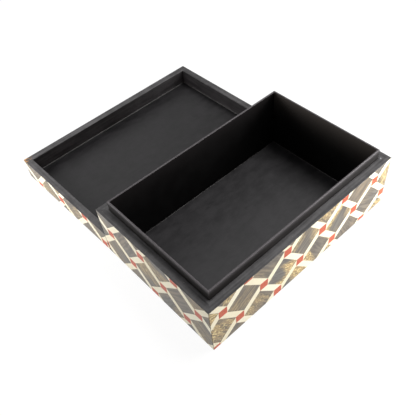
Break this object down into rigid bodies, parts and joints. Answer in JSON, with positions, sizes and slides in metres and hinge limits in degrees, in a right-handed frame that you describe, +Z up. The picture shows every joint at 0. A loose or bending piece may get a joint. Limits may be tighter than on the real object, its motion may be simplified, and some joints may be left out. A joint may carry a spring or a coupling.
{
  "type": "inlaid wooden box",
  "caption": "Rectangular lift-off-lid box faced with geometric wood, bone and red inlay, with a black interior and a raised collar that locates the lid.",
  "frame": {"origin": "centre of the box's underside, on the surface that it stands on", "axes": "+Z up, out of the open box; +X along the box's long side; +Y across it, towards the lid that lies beside it"},
  "size_m": [0.2567, 0.3327, 0.0775],
  "materials": {
    "black_paint": "matte black paint on board",
    "inlay_wood": "grey-brown hardwood, sanded flush and polished",
    "inlay_bone": "cream bone, sanded flush and polished",
    "inlay_red": "red resin tile, sanded flush and polished",
    "inlay_resin": "dark filled resin between the tiles",
    "felt": "black felt"
  },
  "bodies": {
    "box": {"base_board": "black_paint", "base_felt": "felt", "wall_front": "black_paint", "wall_right": "black_paint", "wall_back": "black_paint", "wall_left": "black_paint", "collar_front": "black_paint", "collar_right": "black_paint", "collar_back": "black_paint", "collar_left": "black_paint", "inlay_front": "inlay_wood", "inlay_right": "inlay_wood", "inlay_back": "inlay_wood", "inlay_left": "inlay_wood"},
    "lid": {"lid_top_board": "black_paint", "lid_wall_front": "black_paint", "lid_wall_right": "black_paint", "lid_wall_back": "black_paint", "lid_wall_left": "black_paint", "lid_inlay_front": "inlay_wood", "lid_inlay_right": "inlay_wood", "lid_inlay_back": "inlay_wood", "lid_inlay_left": "inlay_wood", "lid_inlay_top": "inlay_wood"}
  },
  "joints": [
    {"name": "lid_turn", "type": "hinge", "parent": "box", "child": "lid", "pos_m": [0, 0.0833, 0.0464], "axis": [1, 0.0083, 0], "range_deg": [0, 180]}
  ]
}
